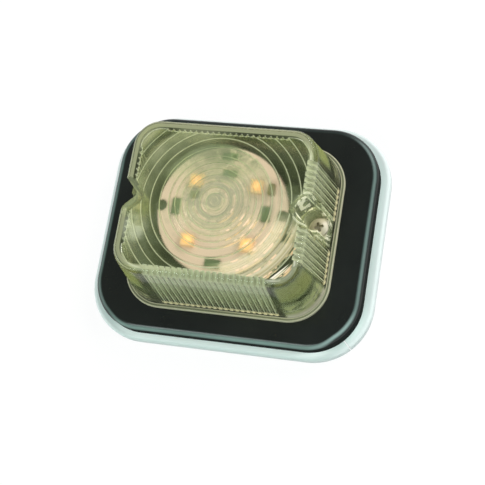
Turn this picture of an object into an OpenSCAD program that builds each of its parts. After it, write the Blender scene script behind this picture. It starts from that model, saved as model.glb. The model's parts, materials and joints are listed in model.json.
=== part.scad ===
// Position lamp for a vehicle: a clear ribbed lens over a round board with four amber LEDs,
// on a moulded black base that is bedded on a pale edge gasket.
// The lamp lies on its back: X runs along its length, Y up its face, Z out of the lens.

/* [Base] */
// Length of the base
base_len = 84; // [80:1:110]
// Width of the base
base_wid = 70; // [67:1:96]
// Thickness of the base from its back to its face
base_thick = 6; // [5:0.5:9]
// Corner radius of the base
base_corner_r = 16; // [12:0.5:20]
// Radius that rounds the front edge of the base
base_edge_r = 2; // [1:0.25:3]
// Depth of the well in the face, under the lens
well_depth = 3.5; // [2:0.25:4]
// Ledge that is left between the foot of the lens wall and the well
well_ledge = 6.1; // [5.5:0.1:7]

/* [Gasket] */
// Thickness of the edge gasket
gasket_thick = 3; // [2:0.25:5]
// How far the gasket stands out past each long side of the base
gasket_margin = 2.4; // [1:0.1:4]
// How far the gasket stands out past each end of the base
gasket_end_margin = 3; // [1:0.1:4]
// Width of the gasket that lies under the base
gasket_lap = 8; // [5:0.5:10]
// Radius that rounds the outer edge of the gasket
gasket_edge_r = 1.2; // [0.5:0.1:1.8]
// Width of the butt joint where the ends of the strip meet
gasket_slit = 0.25; // [0.1:0.05:0.5]

/* [Lens] */
// Length of the lens over its rim
lens_len = 64.6; // [62:0.2:70]
// Width of the lens over its rim
lens_wid = 55.6; // [54:0.2:61]
// Corner radius of the lens rim
lens_corner_r = 12.3; // [11.5:0.1:14]
// Height of the lens above the base
lens_height = 26.4; // [24:0.2:34]
// How far each wall leans in from its foot to the front
lens_lean = 3.4; // [2:0.1:4.2]
// Thickness of the lens walls
lens_wall = 2.2; // [1.8:0.1:2.6]
// Thickness of the lens front
lens_front = 2.2; // [1.5:0.1:3]
// Radius that rounds the front edge of the lens
lens_edge_r = 1.8; // [0.8:0.1:2.4]
// Width of the rim outside the lens wall
rim_w = 1; // [0.7:0.1:1.4]
// Height of the rim
rim_h = 1; // [0.6:0.1:2]
// Radius that rounds the outer edge of the rim
rim_edge_r = 0.4; // [0.2:0.05:0.5]

/* [Flutes] */
// Radius of one flute on the inside of the walls
flute_r = 0.8; // [0.5:0.05:0.85]
// Distance from one flute to the next
flute_pitch = 1.76; // [1.75:0.01:2.4]
// Smooth stretch of wall between the last flute and each corner arc
flute_margin = 0.9; // [0.8:0.1:6]
// Height at which the flutes start above the base
flute_foot = 0.3; // [0.2:0.1:3]

/* [Ring steps] */
// Distance between the outer ring steps
ring_pitch = 2.8; // [2:0.1:4]
// Distance between the inner ring steps
ring_pitch_in = 1.9; // [1.2:0.1:2.5]
// Radius inside which the finer steps begin
ring_split_r = 14; // [10:0.5:18]
// Height of each ring step
ring_step = 0.6; // [0.2:0.05:1]

/* [Screw wells] */
// Distance from each end of the lens rim to its lens screw
screw_inset = 4.3; // [3.8:0.1:4.5]
// Height of the well floor above the base
well_floor = 7.6; // [6:0.1:10]
// Height above the base at which the round bore opens into the notch
notch_foot = 16; // [12:0.5:20]
// Radius of the round bore that clears the screw head
well_r = 3.1; // [2.9:0.05:3.3]
// Radius of the tip of the notch
notch_tip_r = 1.3; // [0.8:0.1:1.5]
// Half of the mouth of the notch
notch_half = 5.2; // [4.6:0.1:5.6]
// Angle between a flank of the notch and its centre line
notch_angle = 46; // [44:1:56]
// Wall between a well and the inside of the lens
well_wall = 1.7; // [1.2:0.1:2]

/* [Lens screws] */
// Radius of the screw thread
screw_r = 1.5; // [1.2:0.05:1.7]
// Radius of the screw head
head_r = 2.65; // [2.3:0.05:2.7]
// Height of the screw head
head_h = 2; // [1.4:0.1:2.6]
// Length of the screw under its head
screw_len = 12; // [10.5:0.5:12.5]

/* [Lens seal] */
// Width of the seal under the lens rim
seal_w = 1.2; // [0.8:0.1:1.5]
// Depth of the seal
seal_h = 1.2; // [0.8:0.1:2]

/* [Board] */
// Clearance between the edge of the board and the lens round it
board_gap = 3; // [1.5:0.1:3.4]
// Thickness of the board
board_t = 1.6; // [1:0.1:2]
// Height of the top of the board above the base
board_level = 16.5; // [12:0.5:19]
// Distance from the edge of the board to the middle of each locating peg
peg_inset = 1; // [0.8:0.1:1.6]
// Radius of a locating peg
peg_r = 1.2; // [0.8:0.05:1.5]
// Radius of the melted head that holds the board on its peg
stake_r = 1.65; // [1.6:0.05:2]
// Height of the melted head
stake_h = 0.5; // [0.3:0.1:1]
// Radius of the foot of a post
post_r = 2.8; // [2.2:0.1:3.2]
// Radius of the top of a post
post_top_r = 2.3; // [2:0.1:2.8]
// Distance from the edge of the board to the middle of each plain post
prop_inset = 3.7; // [3:0.1:7]

/* [LEDs] */
// Distance between neighbouring LEDs
led_pitch = 16.9; // [14:0.1:18]
// Width of an LED body
led_w = 3.8; // [3:0.1:5]
// Height of an LED body
led_h = 1.4; // [0.8:0.1:2]
// Radius of the amber window of an LED
led_window_r = 1.45; // [0.8:0.05:1.45]
// Depth of the cup that holds the amber window
led_cup = 0.5; // [0.3:0.1:0.7]

/* [Cable inlet] */
// Radius of the cable pocket in the back of the base
pocket_r = 7.5; // [6:0.1:9]
// Depth of the cable pocket, from the mounting surface
pocket_depth = 9; // [7:0.5:12]
// Thickness of the walls of the cable pocket
pocket_wall = 2; // [1.5:0.1:3]
// Radius of the cable bore in the grommet
cable_r = 2.5; // [1.5:0.1:3]
// Radius of the hole that holds the grommet
grommet_r = 4; // [3.8:0.1:4.5]

/* [Mounting] */
// Distance between the mounting holes along the lamp
mount_x = 39; // [38:0.5:40]
// Distance between the mounting holes across the lamp
mount_y = 30; // [29:0.5:31]
// Radius of a mounting hole
mount_r = 2.2; // [1.6:0.1:2.4]
// Radius of the boss behind a mounting hole
boss_r = 4.2; // [3.6:0.1:5]

/* [Fit] */
// Clearance of a piece in its hole or groove
fit = 0.05; // [0.02:0.01:0.1]

/* [Hidden] */
$fn = 64;
// How far pieces of one solid run into each other, and how far a cut runs past its face
eps = 0.01;
over = 1;

// Levels above the mounting surface
face_z = gasket_thick + base_thick;
floor_z = face_z - well_depth;
front_z = face_z + lens_height;
board_z = face_z + board_level - board_t;
board_top = board_z + board_t;

// Centres of the corner arcs
base_cx = base_len / 2 - base_corner_r;
base_cy = base_wid / 2 - base_corner_r;
gasket_cx = base_cx + gasket_end_margin - gasket_margin;
lens_cx = lens_len / 2 - lens_corner_r;
lens_cy = lens_wid / 2 - lens_corner_r;

// Lens wall, measured outward from the centres of its corner arcs
wall_foot_r = lens_corner_r - rim_w;
lens_slope = lens_lean / lens_height;
lean_angle = atan(lens_slope);
inner_foot_r = wall_foot_r - lens_wall;
inner_height = lens_height - lens_front;
flute_sink = lens_front / 4;
flute_tuck = 1.4;
side_flute_y = notch_half + well_wall - flute_tuck;
long_pairs = floor((lens_cx - flute_margin) / flute_pitch);
side_flutes = floor((lens_cy - flute_margin - side_flute_y) / flute_pitch) + 1;

// Middle of the seal, with a narrow lip of the rim left outside it
seal_lip = 0.15;
seal_r = lens_corner_r - seal_w / 2 - seal_lip;

// Screw wells: the tip of the notch lies a little further in than the round bore
notch_lead = 1.2;
screw_x = lens_len / 2 - screw_inset;
notch_back = screw_x - well_r - notch_lead;
notch_x = notch_back + notch_tip_r;
far = lens_len;
pillar_step = 0.3;
pillar_r = well_r + pillar_step;
head_z = face_z + well_floor;

// Lens screws and their pilot holes
head_dome_r = 4.24;
recess_depth = 1.4;
recess_len = 2.9;
recess_w = 0.8;
recess_turn = 20;
pilot_spare = 0.5;
pilot_floor = 1;
pilot_wall = 2;
pilot_z = head_z - screw_len - pilot_spare;

// Ring steps: root in the lens front, height where a step runs out, and gap to the next
tooth_root = 0.3;
tooth_tip = 0.05;
tooth_gap = 0.15;

// The board is the largest round one that clears the long walls and the screw wells
long_wall_room = lens_wid / 2 - rim_w - lens_wall - flute_r - board_level * lens_slope;
well_room = notch_back - well_wall;
board_r = min(long_wall_room, well_room) - board_gap;
peg_x = board_r - peg_inset;
prop_y = board_r - prop_inset;

// Rise of the amber window above its cup
window_rise = 0.3;
window_dome_r = 3 * led_window_r;

// Electronic parts: size along X, size along Y and height
resistor_size = [4.4, 2.5, 0.7];
diode_size = [3.4, 1.9, 1.1];
driver_size = [4.9, 3.9, 1.5];
cap_large_size = [1.8, 3.2, 1.4];
cap_small_size = [2.6, 1.7, 1];

// Places of the electronic parts on the board
led_middle = [0.4, -1];
resistor_y = board_r - 3;
resistor_x = board_r - 5.9;
diode_gap = 3.3;
diode_at = [0.6, resistor_y - (resistor_size[1] + diode_size[1]) / 2 - diode_gap];
driver_at = [1, 4];
cap_large_gap = 1.8;
cap_large_drop = 0.3;
cap_small_gap = 1.1;
cap_small_shift = 0.45;

// Two-pole socket under the board
connector_size = [6.4, 4.6, 4.2];
connector_gap = 1.9;
connector_at = [0, connector_size[1] / 2 + connector_gap + post_r - prop_y];
socket_wall = 0.8;
socket_floor = 1;
pin_pitch = 2.5;
pin_w = 0.64;
pin_inset = 0.4;

// Lips of the grommet on both sides of its hole
grommet_lip = 1.2;

// Sweeps a profile, drawn as distance outward and height, round a rectangle
module sweep_round(cx, cy) {
    for (turn = [0 : 3])
        translate([(turn == 0 || turn == 3 ? 1 : -1) * cx, (turn < 2 ? 1 : -1) * cy, 0])
            rotate(turn * 90)
                rotate_extrude(angle = 90) children();
    for (turn = [0 : 3])
        rotate(turn * 90)
            translate([turn % 2 == 0 ? cx : cy, 0, 0])
                rotate([90, 0, 0])
                    linear_extrude(2 * (turn % 2 == 0 ? cy : cx), center = true) children();
}

// The same, closed in the middle over the height given
module block_round(cx, cy, low, high) {
    sweep_round(cx, cy) children();
    translate([-cx, -cy, low]) cube([2 * cx, 2 * cy, high - low]);
}

// Profile of a block with its upper outer edge rounded
module edged_profile(r, low, high, edge) {
    translate([0, low]) square([r, high - low - edge]);
    translate([0, low]) square([r - edge, high - low]);
    translate([r - edge, high - edge]) circle(edge);
}

// Mounting gasket, a strip bent round the base with a butt joint at one corner
module gasket_profile() {
    difference() {
        edged_profile(base_corner_r + gasket_margin, 0, gasket_thick, gasket_edge_r);
        translate([-over, -over])
            square([base_corner_r - gasket_lap + over, gasket_thick + 2 * over]);
    }
}

module mounting_gasket() {
    color([0.83, 0.88, 0.86])
        difference() {
            sweep_round(gasket_cx, base_cy) gasket_profile();
            translate([gasket_cx, -base_cy, -over])
                rotate(-45)
                    translate([0, -gasket_slit / 2, 0])
                        cube([far, gasket_slit, gasket_thick + 2 * over]);
        }
}

// Base housing
module at_mounts() {
    for (sx = [-1, 1], sy = [-1, 1])
        translate([sx * mount_x / 2, sy * mount_y / 2, 0]) children();
}

module base_plate() {
    difference() {
        block_round(base_cx, base_cy, gasket_thick, face_z)
            edged_profile(base_corner_r, gasket_thick, face_z, base_edge_r);
        block_round(lens_cx, lens_cy, floor_z, face_z + over)
            translate([0, floor_z]) square([wall_foot_r - well_ledge, well_depth + over]);
        sweep_round(lens_cx, lens_cy)
            translate([seal_r - seal_w / 2 - fit, face_z - seal_h])
                square([seal_w + 2 * fit, seal_h + over]);
    }
}

// A post that carries the board, with a peg through its notch and a melted head
module board_post() {
    translate([0, 0, floor_z - eps])
        cylinder(r1 = post_r, r2 = post_top_r, h = board_z - floor_z + eps);
    translate([0, 0, board_z - eps]) cylinder(r = peg_r, h = board_t + stake_h + eps);
    translate([0, 0, board_top]) cylinder(r1 = stake_r, r2 = peg_r, h = stake_h);
}

module board_prop() {
    translate([0, 0, floor_z - eps])
        cylinder(r1 = post_r, r2 = post_top_r, h = board_z - floor_z + eps);
}

module base_housing() {
    color([0.1, 0.11, 0.1])
        difference() {
            union() {
                base_plate();
                translate([0, 0, gasket_thick])
                    cylinder(r = pocket_r + pocket_wall, h = pocket_depth + pocket_wall - gasket_thick);
                at_mounts() cylinder(r = boss_r, h = gasket_thick + over);
                for (side = [-1, 1]) {
                    translate([side * peg_x, 0, 0]) board_post();
                    translate([0, side * prop_y, 0]) board_prop();
                    translate([side * screw_x, 0, pilot_z - pilot_floor])
                        cylinder(r = screw_r + pilot_wall, h = floor_z - pilot_z + pilot_floor);
                }
            }
            translate([0, 0, -over]) cylinder(r = pocket_r, h = pocket_depth + over);
            translate([0, 0, -over])
                cylinder(r = grommet_r, h = pocket_depth + pocket_wall + 2 * over);
            at_mounts() translate([0, 0, -over]) cylinder(r = mount_r, h = face_z + 2 * over);
            for (side = [-1, 1])
                translate([side * screw_x, 0, pilot_z]) cylinder(r = screw_r + fit, h = face_z);
        }
}

// Lens
module lens_profile(foot_r, height, edge) {
    mid_z = height - edge;
    mid_r = foot_r - mid_z * lens_slope - edge / cos(lean_angle);
    polygon([
        [0, 0], [foot_r, 0],
        [mid_r + edge * cos(lean_angle), mid_z + edge * sin(lean_angle)],
        [mid_r, mid_z], [mid_r, height], [0, height]
    ]);
    translate([mid_r, mid_z]) circle(edge);
}

// The rim starts inside the wall, so that the two are one piece
module rim_profile() {
    difference() {
        edged_profile(lens_corner_r, 0, rim_h, rim_edge_r);
        translate([-over, -over])
            square([inner_foot_r + lens_wall / 2 + over, rim_h + 2 * over]);
    }
}

module lens_body(foot_r, height, edge) {
    block_round(lens_cx, lens_cy, 0, height) lens_profile(foot_r, height, edge);
}

// Outline of the notch, grown by a wall where the lens stands round it
module notch_outline(grow) {
    tip = notch_tip_r + grow;
    half = notch_half + grow;
    start = [notch_x - tip * sin(notch_angle), tip * cos(notch_angle)];
    mouth_x = start[0] + (half - start[1]) / tan(notch_angle);
    translate([notch_x, 0]) circle(tip);
    polygon([
        start, [mouth_x, half], [far, half],
        [far, -half], [mouth_x, -half], [start[0], -start[1]]
    ]);
}

module bore_outline(grow) {
    translate([screw_x, 0]) circle(well_r + grow);
    translate([screw_x, -well_r - grow]) square([far, 2 * (well_r + grow)]);
}

module at_wells() {
    for (turn = [0, 180]) rotate(turn) children();
}

// Walls of the screw wells and the pillars under their floors
module well_jackets() {
    at_wells() {
        translate([screw_x, 0, -over]) cylinder(r = pillar_r, h = well_floor);
        translate([0, 0, well_floor - lens_front])
            linear_extrude(lens_height) bore_outline(well_wall);
        translate([0, 0, notch_foot - lens_front])
            linear_extrude(lens_height) notch_outline(well_wall);
    }
}

module well_cuts() {
    at_wells() {
        translate([0, 0, well_floor])
            linear_extrude(notch_foot - well_floor + over) bore_outline(0);
        translate([0, 0, notch_foot]) linear_extrude(lens_height) notch_outline(0);
        translate([screw_x, 0, -over])
            cylinder(r = screw_r + 4 * fit, h = well_floor + 2 * over);
    }
}

// One flute stands along the inner face of the wall at reach from the centre
module flute(reach) {
    length = (inner_height - flute_foot) / cos(lean_angle) + flute_sink;
    translate([0, reach + inner_foot_r - flute_foot * lens_slope, flute_foot])
        rotate([lean_angle, 0, 0])
            cylinder(r = flute_r, h = length);
}

module flutes() {
    for (turn = [0, 180]) {
        rotate(turn)
            for (i = [-long_pairs : long_pairs])
                translate([i * flute_pitch, 0, 0]) flute(lens_cy);
        rotate(turn + 90)
            for (side = [-1, 1], i = [0 : side_flutes - 1])
                translate([side * (side_flute_y + i * flute_pitch), 0, 0]) flute(lens_cx);
    }
}

// Radii of the ring steps, fine near the middle and wider outside
ring_reach = norm([lens_cx, lens_cy]) + inner_foot_r;
inner_rings = [for (r = [ring_split_r - ring_pitch_in : -ring_pitch_in : ring_pitch_in]) r];
outer_rings = [for (r = [ring_split_r : ring_pitch : ring_reach]) r];

// A step is thickest at its inner edge and runs out to nothing at the next one
module ring_tooth(r, width) {
    end_r = r + width - tooth_gap;
    polygon([[r, tooth_root], [r, -ring_step], [end_r, -tooth_tip], [end_r, tooth_root]]);
}

module ring_steps() {
    translate([0, 0, inner_height])
        rotate_extrude() {
            for (r = inner_rings) ring_tooth(r, ring_pitch_in);
            for (r = outer_rings) ring_tooth(r, ring_pitch);
        }
}

module lens() {
    color([0.8, 0.82, 0.6, 0.35])
        translate([0, 0, face_z])
            difference() {
                union() {
                    difference() {
                        lens_body(wall_foot_r, lens_height, lens_edge_r);
                        difference() {
                            translate([0, 0, -eps])
                                lens_body(inner_foot_r, inner_height + eps, lens_edge_r / 2);
                            well_jackets();
                        }
                    }
                    sweep_round(lens_cx, lens_cy) rim_profile();
                    flutes();
                    intersection() {
                        ring_steps();
                        lens_body(inner_foot_r + lens_wall / 2, lens_height, lens_edge_r);
                    }
                }
                well_cuts();
            }
}

// Seal under the lens rim
module lens_seal() {
    color([0.15, 0.15, 0.14])
        sweep_round(lens_cx, lens_cy)
            translate([seal_r - seal_w / 2, face_z - seal_h]) square([seal_w, seal_h]);
}

// Round board with a notch for each peg
module circuit_board() {
    color([0.86, 0.8, 0.66])
        translate([0, 0, board_z])
            difference() {
                cylinder(r = board_r, h = board_t);
                for (turn = [0, 180])
                    rotate(turn)
                        translate([peg_x, 0, -over])
                            linear_extrude(board_t + 2 * over) {
                                circle(peg_r + 3 * fit);
                                translate([0, -peg_r - 3 * fit])
                                    square([board_r, 2 * (peg_r + 3 * fit)]);
                            }
            }
}

// LEDs, numbered from top left round to bottom left
function led_at(i) = led_middle + led_pitch / 2 * [i == 1 || i == 4 ? -1 : 1, i < 3 ? 1 : -1];

module led_body(i) {
    color([0.9, 0.86, 0.74])
        translate([led_at(i)[0], led_at(i)[1], board_top])
            difference() {
                translate([-led_w / 2, -led_w / 2, 0]) cube([led_w, led_w, led_h]);
                translate([0, 0, led_h - led_cup]) cylinder(r = led_window_r, h = led_cup + over);
            }
}

module led_window(i) {
    color([1, 0.62, 0.15])
        translate([led_at(i)[0], led_at(i)[1], board_top + led_h - led_cup])
            intersection() {
                cylinder(r = led_window_r, h = led_cup + over);
                translate([0, 0, led_cup + window_rise - window_dome_r]) sphere(window_dome_r);
            }
}

// A chip resistor, diode, capacitor or driver soldered to the board, with its foot at a level
module chip(place, size, tone, turn = 0, level = board_top) {
    color(tone)
        translate([place[0], place[1], level])
            rotate(turn)
                translate([-size[0] / 2, -size[1] / 2, 0]) cube(size);
}

module resistor(place, turn) { chip(place, resistor_size, [0.13, 0.18, 0.14], turn); }
module diode() { chip(diode_at, diode_size, [0.12, 0.12, 0.12]); }

// The driver sits under the board
module driver_chip() {
    chip(driver_at, driver_size, [0.12, 0.12, 0.12], level = board_z - driver_size[2]);
}

// Each capacitor stands beside an LED
module capacitor_large() {
    beside = [(led_w + cap_large_size[0]) / 2 + cap_large_gap, -cap_large_drop];
    chip(led_at(2) + beside, cap_large_size, [0.45, 0.36, 0.25]);
}

module capacitor_small() {
    beside = [cap_small_shift, -(led_w + cap_small_size[1]) / 2 - cap_small_gap];
    chip(led_at(1) + beside, cap_small_size, [0.45, 0.36, 0.25]);
}

// Two-pole socket under the board, for the leads of the cable
module at_connector() {
    translate([connector_at[0], connector_at[1], board_z - connector_size[2]]) children();
}

module board_connector() {
    hole = [for (side = connector_size) side - 2 * socket_wall];
    color([0.9, 0.88, 0.8])
        at_connector()
            difference() {
                translate([-connector_size[0] / 2, -connector_size[1] / 2, 0])
                    cube(connector_size);
                translate([-hole[0] / 2, -hole[1] / 2, -over])
                    cube([hole[0], hole[1], connector_size[2] - socket_floor + over]);
            }
}

module connector_pin(side) {
    color([0.8, 0.65, 0.3])
        at_connector()
            translate([side * pin_pitch / 2 - pin_w / 2, -pin_w / 2, pin_inset])
                cube([pin_w, pin_w, connector_size[2] - socket_floor - pin_inset]);
}

// Rubber grommet in the floor of the cable pocket
module cable_grommet() {
    lip_r = grommet_r + grommet_lip;
    whole = pocket_wall + 2 * grommet_lip;
    color([0.12, 0.12, 0.12])
        translate([0, 0, pocket_depth])
            rotate_extrude()
                difference() {
                    union() {
                        translate([0, -grommet_lip]) square([lip_r, grommet_lip]);
                        square([grommet_r - fit, pocket_wall]);
                        translate([0, pocket_wall]) square([lip_r, grommet_lip]);
                    }
                    translate([0, -grommet_lip - over]) square([cable_r, whole + 2 * over]);
                }
}

// Pan-head screw with a cross recess
module lens_screw(side) {
    color([0.78, 0.78, 0.76])
        translate([side * screw_x, 0, head_z])
            difference() {
                union() {
                    translate([0, 0, -screw_len]) cylinder(r = screw_r, h = screw_len + eps);
                    intersection() {
                        cylinder(r = head_r, h = head_h);
                        translate([0, 0, head_h - head_dome_r]) sphere(head_dome_r);
                    }
                }
                for (turn = [0, 90])
                    rotate(turn + recess_turn)
                        translate([-recess_len / 2, -recess_w / 2, head_h - recess_depth])
                            cube([recess_len, recess_w, head_h]);
            }
}

mounting_gasket();
base_housing();
lens();
lens_seal();
circuit_board();
led_body(1);  // led_body_1
led_body(2);  // led_body_2
led_body(3);  // led_body_3
led_body(4);  // led_body_4
led_window(1);  // led_window_1
led_window(2);  // led_window_2
led_window(3);  // led_window_3
led_window(4);  // led_window_4
resistor([0, resistor_y], 0);  // resistor_top
resistor([0, -resistor_y], 0);  // resistor_bottom
resistor([-resistor_x, 0], 90);  // resistor_left
resistor([resistor_x, 0], 90);  // resistor_right
diode();
driver_chip();
capacitor_large();
capacitor_small();
board_connector();
connector_pin(-1);  // connector_pin_1
connector_pin(1);  // connector_pin_2
cable_grommet();
lens_screw(-1);  // lens_screw_left
lens_screw(1);  // lens_screw_right
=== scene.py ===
import json
from math import cos, radians, sin, sqrt

import bpy
from mathutils import Matrix, Vector


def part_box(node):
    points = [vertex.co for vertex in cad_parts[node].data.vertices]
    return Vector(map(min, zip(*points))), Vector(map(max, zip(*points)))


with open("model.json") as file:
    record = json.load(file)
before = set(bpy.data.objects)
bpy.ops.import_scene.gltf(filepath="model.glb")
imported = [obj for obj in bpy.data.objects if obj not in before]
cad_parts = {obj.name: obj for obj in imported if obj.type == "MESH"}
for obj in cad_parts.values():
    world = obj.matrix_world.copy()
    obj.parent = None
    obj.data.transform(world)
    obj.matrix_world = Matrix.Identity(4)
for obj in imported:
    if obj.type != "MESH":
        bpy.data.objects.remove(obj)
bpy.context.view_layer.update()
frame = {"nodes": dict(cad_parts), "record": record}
nodes = frame["nodes"]

MM = 0.001


def in_mm(box):
    """Low and high corner of a box, in millimetres."""
    return [Vector(corner) / MM for corner in box]


# Photograph frame and the camera solved from it
PHOTO_PX = 485
FOCAL_PX = 1172.2
SENSOR_MM = 36.0
CAMERA_MM = (98.30, -96.80, 343.14)
AIM_MM = (3.133, -4.470, 9.0)
CAMERA_UP = (-0.09399, 0.95241, 0.28995)
CLIP_NEAR, CLIP_FAR = 0.01, 20.0

# Sizes of the lens moulding that its finish follows, in millimetres
lens_low, lens_high = in_mm(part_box("lens"))
FACE_Z = lens_low.z
FRONT_H = lens_high.z - lens_low.z
FOOT_X = lens_high.x
FOOT_Y = lens_high.y
RIM_W, RIM_H = 1.0, 1.0
LENS_WALL, LENS_FRONT = 2.2, 2.2
LENS_CORNER = 12.3
WALL_OFFSET = 3.4
LEAN = WALL_OFFSET / FRONT_H
FLUTE_R, FLUTE_PITCH, LONG_FLUTES = 0.8, 1.76, 21
SIDE_FLUTE_START, SIDE_FLUTES = 5.5, 6
RING_SPLIT, RING_PITCH, RING_PITCH_IN = 14.0, 2.8, 1.9
RING_STEP = 0.6
SCREW_INSET = 4.3
SCREW_X = FOOT_X - SCREW_INSET
WELL_R, WELL_FLOOR = 3.1, 7.6
NOTCH_LEAD, NOTCH_HALF, NOTCH_TIP_R = 1.2, 5.2, 1.3
NOTCH_ANGLE = radians(46.0)
NOTCH_X = SCREW_X - WELL_R - NOTCH_LEAD + NOTCH_TIP_R
CORNER_X = FOOT_X - LENS_CORNER
CORNER_Y = FOOT_Y - LENS_CORNER
OUTER_REACH = LENS_CORNER - RIM_W
INNER_REACH = OUTER_REACH - LENS_WALL
INNER_H = FRONT_H - LENS_FRONT
FLUTE_REACH = INNER_REACH - FLUTE_R
LONG_END = FLUTE_PITCH * LONG_FLUTES / 2
SIDE_START = SIDE_FLUTE_START - FLUTE_PITCH / 2
SIDE_END = SIDE_START + SIDE_FLUTES * FLUTE_PITCH

# Base, gasket and screw
BASE_HIGH = in_mm(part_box("base_housing"))[1]
GASKET_HIGH = in_mm(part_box("mounting_gasket"))[1]
SCREW_HIGH = in_mm(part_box("lens_screw_right"))[1]
GASKET_LAP = 8.0
BASE_CORNER, BASE_EDGE = 16.0, 2.0
BASE_MIDDLE_X = BASE_HIGH.x - BASE_CORNER
BASE_MIDDLE_Y = BASE_HIGH.y - BASE_CORNER

# Middle of the four LEDs, from their windows
window_boxes = [in_mm(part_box(f"led_window_{i}")) for i in range(1, 5)]
window_places = [(low + high) / 2 for low, high in window_boxes]
LED_MIDDLE = sum(window_places, Vector()) / 4
LED_HALF = (window_places[1].x - window_places[0].x) / 2
WINDOW_R = (window_boxes[0][1].x - window_boxes[0][0].x) / 2

# Fades of the lens finish in millimetres: where a mask starts and where it is full.
# A third number makes a band, and is how softly both its ends fade.
# UP is the height over the base's face, REACH the distance outward, SIDE is X less Y,
# and AIM is SIDE over the radius, 1.41 straight toward the corner at high X and low Y.

# Haze on the inside of the front, and painted reflections on it: FAR toward the corner at low X and high
# Y, SHEEN and STREAK toward the corner at high X and low Y
INSIDE = (INNER_REACH + 0.6, INNER_REACH)
FRONT_UP = (INNER_H - RING_STEP - 0.2, INNER_H - RING_STEP)
MIDDLE_RADII = (13.0, 5.0)
SPECK_RADII = (14.0, 6.0)
UPPER_Y, UPPER_RADII = (3.0, 15.0), (17.6, 16.4)
FAR_SIDE, FAR_INNER, FAR_OUTER = (-16.0, -31.0), (25.8, 24.6), (28.0, 29.2)
SMEAR_X, SMEAR_Y, SMEAR_RADII = -23.0, -10.5, (5.5, 2.0)
SHEEN_AIM, SHEEN_BAND = (1.0, 1.32), (19.0, 27.8, 0.7)
STREAK_AIM, STREAK_RADII = (1.15, 1.36), (4.0, 7.0)

# Ring steps, the painted shadow line beside each crest, and the painted glint at their corner
STEPS_UP = (INNER_H - RING_STEP - 0.1, INNER_H - 0.05, 0.05)
CREST_R, STEP_SHADOW_R = RING_SPLIT + 0.1, RING_SPLIT - 0.3
COARSE = (RING_SPLIT - 0.7, RING_SPLIT - 0.6)
FAR_RINGS = (18.8, 19.6)
SPLIT_FADE = (RING_SPLIT - 1.0, RING_SPLIT)
GLINT_R = 29.6
GLINT_CORNER = GLINT_R * sqrt(2.0)
GLINT_BAND = (GLINT_R - 0.4, GLINT_R + 0.4, 0.15)
GLINT_SIDE = (GLINT_CORNER - 0.45, GLINT_CORNER - 0.15)
GLINT_UP = (INNER_H - 0.8, INNER_H - 0.6)

# Walls and the border of the front, and the painted highlight on its turned outer edge
LOW_WALL_REACH, LOW_WALL_UP = (FLUTE_REACH - 0.3, FLUTE_REACH), (12.0, 3.0)
BORDER_REACH, BORDER_UP = (INNER_REACH, OUTER_REACH - 0.9, 0.2), (FRONT_H - 0.4, FRONT_H - 0.2)
CONTOUR_REACH = (INNER_REACH - 0.35, INNER_REACH + 0.1, 0.1)
CONTOUR_UP = (INNER_H - 1.2, INNER_H + 0.1, 0.1)
TURNED_REACH = (OUTER_REACH - 0.75, OUTER_REACH - 0.35, 0.15)
TURNED_UP = (FRONT_H - 1.2, FRONT_H - 0.6)
BORDER_SIDE, TURNED_SIDE = (30.0, 5.0), (22.0, -8.0)

# Flutes
FLUTE_BAND, FLUTE_UP = (FLUTE_REACH - 0.1, INNER_REACH + 0.1, 0.05), (INNER_H + 0.1, INNER_H - 0.1)
LONG_SPAN, SIDE_SPAN = (LONG_END + 0.05, LONG_END - 0.05), (SIDE_START, SIDE_END, 0.05)
PAST_CORNER, NEAR_HALF = (2.0, 3.0), (1.0, -1.0)
CREST_UP, FLUTED_UP = (15.0, 4.0), (5.0, 15.0)
CAP_UP, FLUTE_FOOT_UP = (INNER_H - 3.4, INNER_H - 1.6), (1.6, 1.1)

# Rounded corners, with painted light from below on the one toward high X and low Y
OUTER_WALL, CORNER_PAST = (OUTER_REACH - 0.25, OUTER_REACH - 0.1), (0.2, 2.0)
CORNER_UP, CORNER_SIDE = (13.5, FRONT_H - 2.5, 2.0), (20.0, 38.0)
CORNER_LOW_UP, CORNER_FOOT_UP = (13.0, 8.0), (4.5, 2.0)
ARC_START, ARC_PITCH, ARC_UP = 3.0, 3.2, (8.0, 5.0)

# Notches and screw wells, with painted highlights along the notch edges and in arcs in the right well
FROM_TIP, NOTCH_BAND = (0.0, -0.1), (NOTCH_TIP_R - 0.1, NOTCH_TIP_R + 0.35, 0.1)
NOTCH_START, NOTCH_END = (NOTCH_X - 2.0, NOTCH_X - 1.5), (NOTCH_HALF + 0.3, NOTCH_HALF)
NOTCH_UP = (FRONT_H - 1.0, FRONT_H - 0.5)
WELL_RADII, WELL_UP = (WELL_R + 2.4, WELL_R + 1.6), (2.0, 6.0)
WELL_EDGE = (WELL_R - 0.45, WELL_R + 0.35, 0.15)
WELL_EDGE_UP = (WELL_FLOOR - 0.3, WELL_FLOOR + 0.5, 0.2)
RIGHT_HALF = (-5.0, 5.0)

# Rim, with a painted highlight along its outer edge
RIM_UP, RIM_REACH = (RIM_H + 0.15, RIM_H + 0.05), (OUTER_REACH - 0.1, OUTER_REACH)
RIM_EDGE = (OUTER_REACH + RIM_W - 0.35, OUTER_REACH + RIM_W - 0.15)
FOOT_UP = (RIM_H - 0.1, RIM_H + 0.35, 0.1)
FOOT_REACH = (OUTER_REACH - 0.15, OUTER_REACH + 0.2, 0.1)

# Half width and softness of thin lines
RING_LINE, FINE_LINE, STEP_SHADOW_LINE, FINE_STEP_SHADOW = (0.16, 0.08), (0.14, 0.08), (0.14, 0.1), (0.12, 0.1)
STREAK_LINE, FINE_STREAK, ARC_LINE = (0.26, 0.12), (0.3, 0.2), (0.2, 0.3)
CREST_LINE, STUB_LINE, TOOTH_LINE = (0.20, 0.10), (0.50, 0.1), (0.62, 0.2)

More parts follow.
